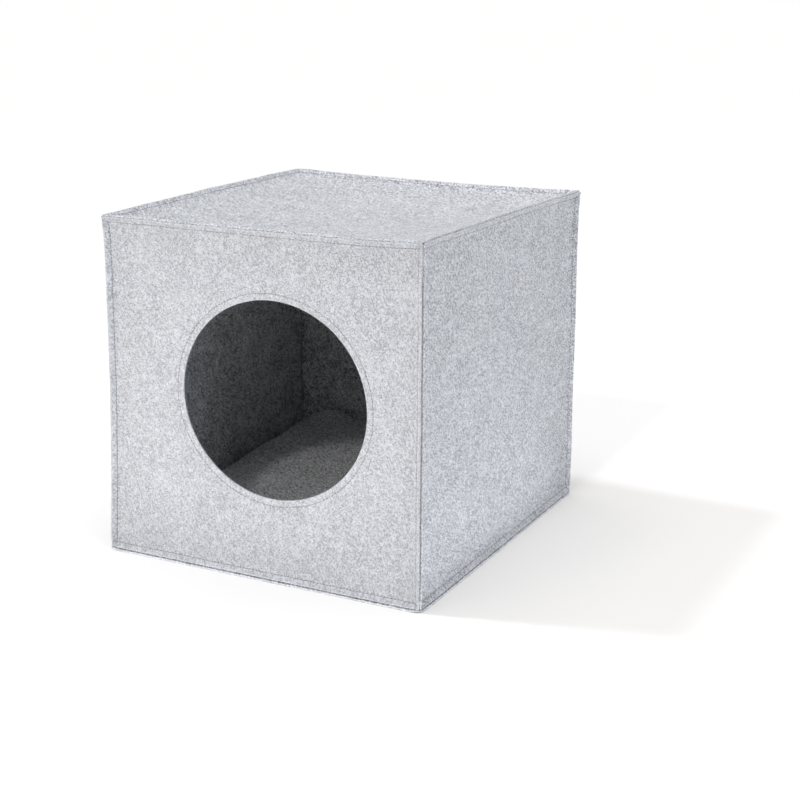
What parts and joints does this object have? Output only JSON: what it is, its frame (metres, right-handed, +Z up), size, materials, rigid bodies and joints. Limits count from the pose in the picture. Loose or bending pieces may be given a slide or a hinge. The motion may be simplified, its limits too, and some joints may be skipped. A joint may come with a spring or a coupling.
{
  "type": "felt cat cave with a cushion",
  "caption": "Cube-shaped pet cave of sewn grey felt with a round entrance, outward seams, a sagging top and a cushion inside.",
  "frame": {"origin": "centre of the footprint, on the surface it rests on", "axes": "+Z up, the round entrance faces -Y, +X to the right as seen from the entrance side"},
  "size_m": [0.3329, 0.3678, 0.326],
  "materials": {
    "felt": "matte",
    "cushion_felt": "matte"
  },
  "bodies": {
    "root": {"front_panel": "felt", "back_panel": "felt", "left_panel": "felt", "right_panel": "felt", "top_panel": "felt", "bottom_panel": "felt", "cushion": "cushion_felt"}
  },
  "joints": []
}
